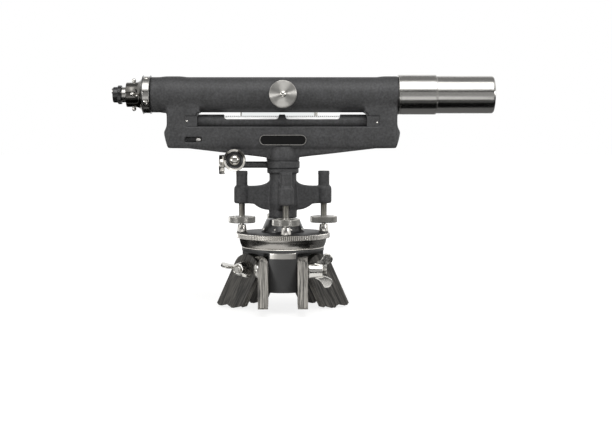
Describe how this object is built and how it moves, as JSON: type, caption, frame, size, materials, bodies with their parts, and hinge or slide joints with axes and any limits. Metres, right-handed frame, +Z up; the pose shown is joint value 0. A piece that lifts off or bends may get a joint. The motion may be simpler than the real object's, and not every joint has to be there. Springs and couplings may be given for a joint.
{
  "type": "dumpy level",
  "caption": "Surveyor's dumpy level on a tripod head: telescope and level vial in one casting, levelling screws, tangent screw, sunshade and hinged reading mirror.",
  "frame": {"origin": "on the vertical axis, at the seat of the foot plate on the tripod head, where the plumb bore opens", "axes": "+X along the telescope to the objective, +Z up along the vertical axis, +Y to the side away from the focusing knob"},
  "size_m": [0.4467, 0.191, 0.2757],
  "materials": {
    "lacquer": "dark lacquer, satin",
    "dark_lacquer": "black lacquer, satin",
    "bronze": "bronzed, satin",
    "nickel": "nickel plate, turned and polished",
    "steel": "brushed",
    "brass": "polished",
    "wood": "oiled",
    "glass": "clear",
    "mirror": "silvered"
  },
  "bodies": {
    "tripod": {"tripod_head": "bronze", "leg_bolts": "nickel", "foot_plate": "bronze", "ball_cover": "lacquer", "screw_shoes": "nickel"},
    "leg_front": {"leg_front": "wood"},
    "leg_right": {"leg_right": "wood"},
    "leg_left": {"leg_left": "wood"},
    "wing_front": {"wing_nut_front": "nickel"},
    "wing_right": {"wing_nut_right": "nickel"},
    "wing_left": {"wing_nut_left": "nickel"},
    "half_ball": {"half_ball": "brass"},
    "head": {"levelling_head": "lacquer", "post_caps": "lacquer"},
    "foot_1": {"ball_foot_1": "steel"},
    "foot_2": {"ball_foot_2": "steel"},
    "foot_3": {"ball_foot_3": "steel"},
    "foot_4": {"ball_foot_4": "steel"},
    "screw_1": {"levelling_screw_1": "nickel"},
    "screw_2": {"levelling_screw_2": "nickel"},
    "screw_3": {"levelling_screw_3": "nickel"},
    "screw_4": {"levelling_screw_4": "nickel"},
    "clamp": {"clamp_collar": "lacquer", "clamp_shoe": "brass"},
    "clamp_screw": {"clamp_screw": "nickel"},
    "alidade": {"centre_spindle": "brass", "spindle_nut": "brass", "tangent_bracket": "lacquer", "spring_box": "nickel", "plunger_spring": "steel", "frame_casting": "lacquer", "name_plate": "dark_lacquer", "pinion_plate": "dark_lacquer", "eyepiece_flange": "nickel", "eyepiece_mount": "dark_lacquer", "eyepiece_screws": "nickel", "reticle": "brass", "vial_case": "lacquer", "vial_glass": "glass", "adjusting_nuts": "nickel", "mirror_socket": "dark_lacquer"},
    "thrust_tip": {"thrust_tip": "steel"},
    "tangent_screw": {"tangent_screw": "nickel"},
    "plunger": {"spring_plunger": "steel"},
    "pinion": {"focus_pinion": "steel", "focus_knob": "nickel"},
    "objective": {"objective_slide": "nickel", "focus_rack": "brass", "objective_head": "nickel", "objective_lens": "glass"},
    "sunshade": {"sunshade": "nickel"},
    "eyepiece": {"eyepiece_tube": "dark_lacquer", "eyepiece_lenses": "glass"},
    "eye_cap": {"eye_cap": "dark_lacquer"},
    "eye_shutter": {"eye_shutter": "nickel"},
    "mirror_arm": {"mirror_arm": "nickel"},
    "mirror": {"mirror_holder": "nickel", "mirror_glass": "mirror", "joint_spring": "steel", "joint_nut": "nickel"}
  },
  "joints": [
    {"name": "leg_front_fold", "type": "hinge", "parent": "tripod", "child": "leg_front", "pos_m": [0, -0.034, -0.024], "axis": [1, 0, 0], "range_deg": [-12, 27]},
    {"name": "wing_front_turn", "type": "hinge", "parent": "tripod", "child": "wing_front", "pos_m": [0, -0.034, -0.024], "axis": [1, 0, 0], "continuous": true},
    {"name": "leg_right_fold", "type": "hinge", "parent": "tripod", "child": "leg_right", "pos_m": [0.02944, 0.017, -0.024], "axis": [-0.5, 0.866, 0], "range_deg": [-12, 27]},
    {"name": "wing_right_turn", "type": "hinge", "parent": "tripod", "child": "wing_right", "pos_m": [0.02944, 0.017, -0.024], "axis": [-0.5, 0.866, 0], "continuous": true},
    {"name": "leg_left_fold", "type": "hinge", "parent": "tripod", "child": "leg_left", "pos_m": [-0.02944, 0.017, -0.024], "axis": [-0.5, -0.866, 0], "range_deg": [-12, 27]},
    {"name": "wing_left_turn", "type": "hinge", "parent": "tripod", "child": "wing_left", "pos_m": [-0.02944, 0.017, -0.024], "axis": [-0.5, -0.866, 0], "continuous": true},
    {"name": "tilt_x", "type": "hinge", "parent": "tripod", "child": "half_ball", "pos_m": [0, 0, 0.024], "axis": [0.9976, 0.0698, 0], "range_deg": [-2.5, 2.5]},
    {"name": "tilt_y", "type": "hinge", "parent": "half_ball", "child": "head", "pos_m": [0, 0, 0.024], "axis": [-0.0698, 0.9976, 0], "range_deg": [-2.5, 2.5]},
    {"name": "screw_1_rise", "type": "slide", "parent": "head", "child": "foot_1", "axis": [0, 0, 1], "range_m": [-0.0022, 0.0022]},
    {"name": "screw_1_turn", "type": "hinge", "parent": "foot_1", "child": "screw_1", "pos_m": [0.04828, 0.00338, 0.024], "axis": [0, 0, 1], "range_deg": [-765, 765]},
    {"name": "screw_2_rise", "type": "slide", "parent": "head", "child": "foot_2", "axis": [0, 0, 1], "range_m": [-0.0022, 0.0022]},
    {"name": "screw_2_turn", "type": "hinge", "parent": "foot_2", "child": "screw_2", "pos_m": [-0.00338, 0.04828, 0.024], "axis": [0, 0, 1], "range_deg": [-765, 765]},
    {"name": "screw_3_rise", "type": "slide", "parent": "head", "child": "foot_3", "axis": [0, 0, 1], "range_m": [-0.0022, 0.0022]},
    {"name": "screw_3_turn", "type": "hinge", "parent": "foot_3", "child": "screw_3", "pos_m": [-0.04828, -0.00338, 0.024], "axis": [0, 0, 1], "range_deg": [-765, 765]},
    {"name": "screw_4_rise", "type": "slide", "parent": "head", "child": "foot_4", "axis": [0, 0, 1], "range_m": [-0.0022, 0.0022]},
    {"name": "screw_4_turn", "type": "hinge", "parent": "foot_4", "child": "screw_4", "pos_m": [0.00338, -0.04828, 0.024], "axis": [0, 0, 1], "range_deg": [-765, 765]},
    {"name": "azimuth", "type": "hinge", "parent": "head", "child": "clamp", "pos_m": [0, 0, 0.0976], "axis": [0, 0, 1], "continuous": true},
    {"name": "clamp_screw_turn", "type": "hinge", "parent": "clamp", "child": "clamp_screw", "pos_m": [-0.06, 0, 0.0976], "axis": [1, 0, 0], "range_deg": [0, 270]},
    {"name": "slow_motion", "type": "hinge", "parent": "clamp", "child": "alidade", "pos_m": [0, 0, 0.0976], "axis": [0, 0, 1], "range_deg": [-2, 2]},
    {"name": "tangent_slide", "type": "slide", "parent": "alidade", "child": "thrust_tip", "axis": [0, 1, 0], "range_m": [-0.002, 0.002]},
    {"name": "tangent_turn", "type": "hinge", "parent": "thrust_tip", "child": "tangent_screw", "pos_m": [-0.0555, 0, 0.1035], "axis": [0, 1, 0], "range_deg": [-1000, 1000]},
    {"name": "plunger_slide", "type": "slide", "parent": "alidade", "child": "plunger", "axis": [0, 1, 0], "range_m": [-0.002, 0.002]},
    {"name": "objective_slide", "type": "slide", "parent": "alidade", "child": "objective", "axis": [1, 0, 0], "range_m": [0, 0.025]},
    {"name": "focus_turn", "type": "hinge", "parent": "alidade", "child": "pinion", "pos_m": [0, -0.029, 0.179], "axis": [0, 1, 0], "range_deg": [-300, 0]},
    {"name": "sunshade_slide", "type": "slide", "parent": "objective", "child": "sunshade", "axis": [1, 0, 0], "range_m": [0, 0.012]},
    {"name": "eyepiece_slide", "type": "slide", "parent": "alidade", "child": "eyepiece", "axis": [-1, 0, 0], "range_m": [-0.002, 0.002]},
    {"name": "eyepiece_turn", "type": "hinge", "parent": "eyepiece", "child": "eye_cap", "pos_m": [-0.1886, 0, 0.1795], "axis": [1, 0, 0], "range_deg": [-91, 91]},
    {"name": "shutter_turn", "type": "hinge", "parent": "eye_cap", "child": "eye_shutter", "pos_m": [-0.1991, -0.0044, 0.1835], "axis": [1, 0, 0], "range_deg": [0, 90]},
    {"name": "mirror_tilt", "type": "hinge", "parent": "alidade", "child": "mirror_arm", "pos_m": [-0.0066, 0.03, 0.1185], "axis": [0, 1, 0], "range_deg": [-20, 20]},
    {"name": "mirror_turn", "type": "hinge", "parent": "mirror_arm", "child": "mirror", "pos_m": [-0.0066, 0.07, 0.1185], "axis": [0, 0, 1], "range_deg": [0, 50]}
  ],
  "couplings": [
    {"joint": "screw_1_rise", "follows": "tilt_y", "m_per_rad": 0.0484},
    {"joint": "screw_1_turn", "follows": "tilt_y", "ratio": 304.11},
    {"joint": "screw_2_rise", "follows": "tilt_x", "m_per_rad": -0.0484},
    {"joint": "screw_2_turn", "follows": "tilt_x", "ratio": -304.11},
    {"joint": "screw_3_rise", "follows": "tilt_y", "m_per_rad": -0.0484},
    {"joint": "screw_3_turn", "follows": "tilt_y", "ratio": -304.11},
    {"joint": "screw_4_rise", "follows": "tilt_x", "m_per_rad": 0.0484},
    {"joint": "screw_4_turn", "follows": "tilt_x", "ratio": 304.11},
    {"joint": "tangent_slide", "follows": "slow_motion", "m_per_rad": 0.0555},
    {"joint": "tangent_turn", "follows": "slow_motion", "ratio": 498.17},
    {"joint": "plunger_slide", "follows": "slow_motion", "m_per_rad": 0.0555},
    {"joint": "focus_turn", "follows": "objective_slide", "rad_per_m": -208.33},
    {"joint": "eyepiece_turn", "follows": "eyepiece_slide", "rad_per_m": 785.4}
  ]
}
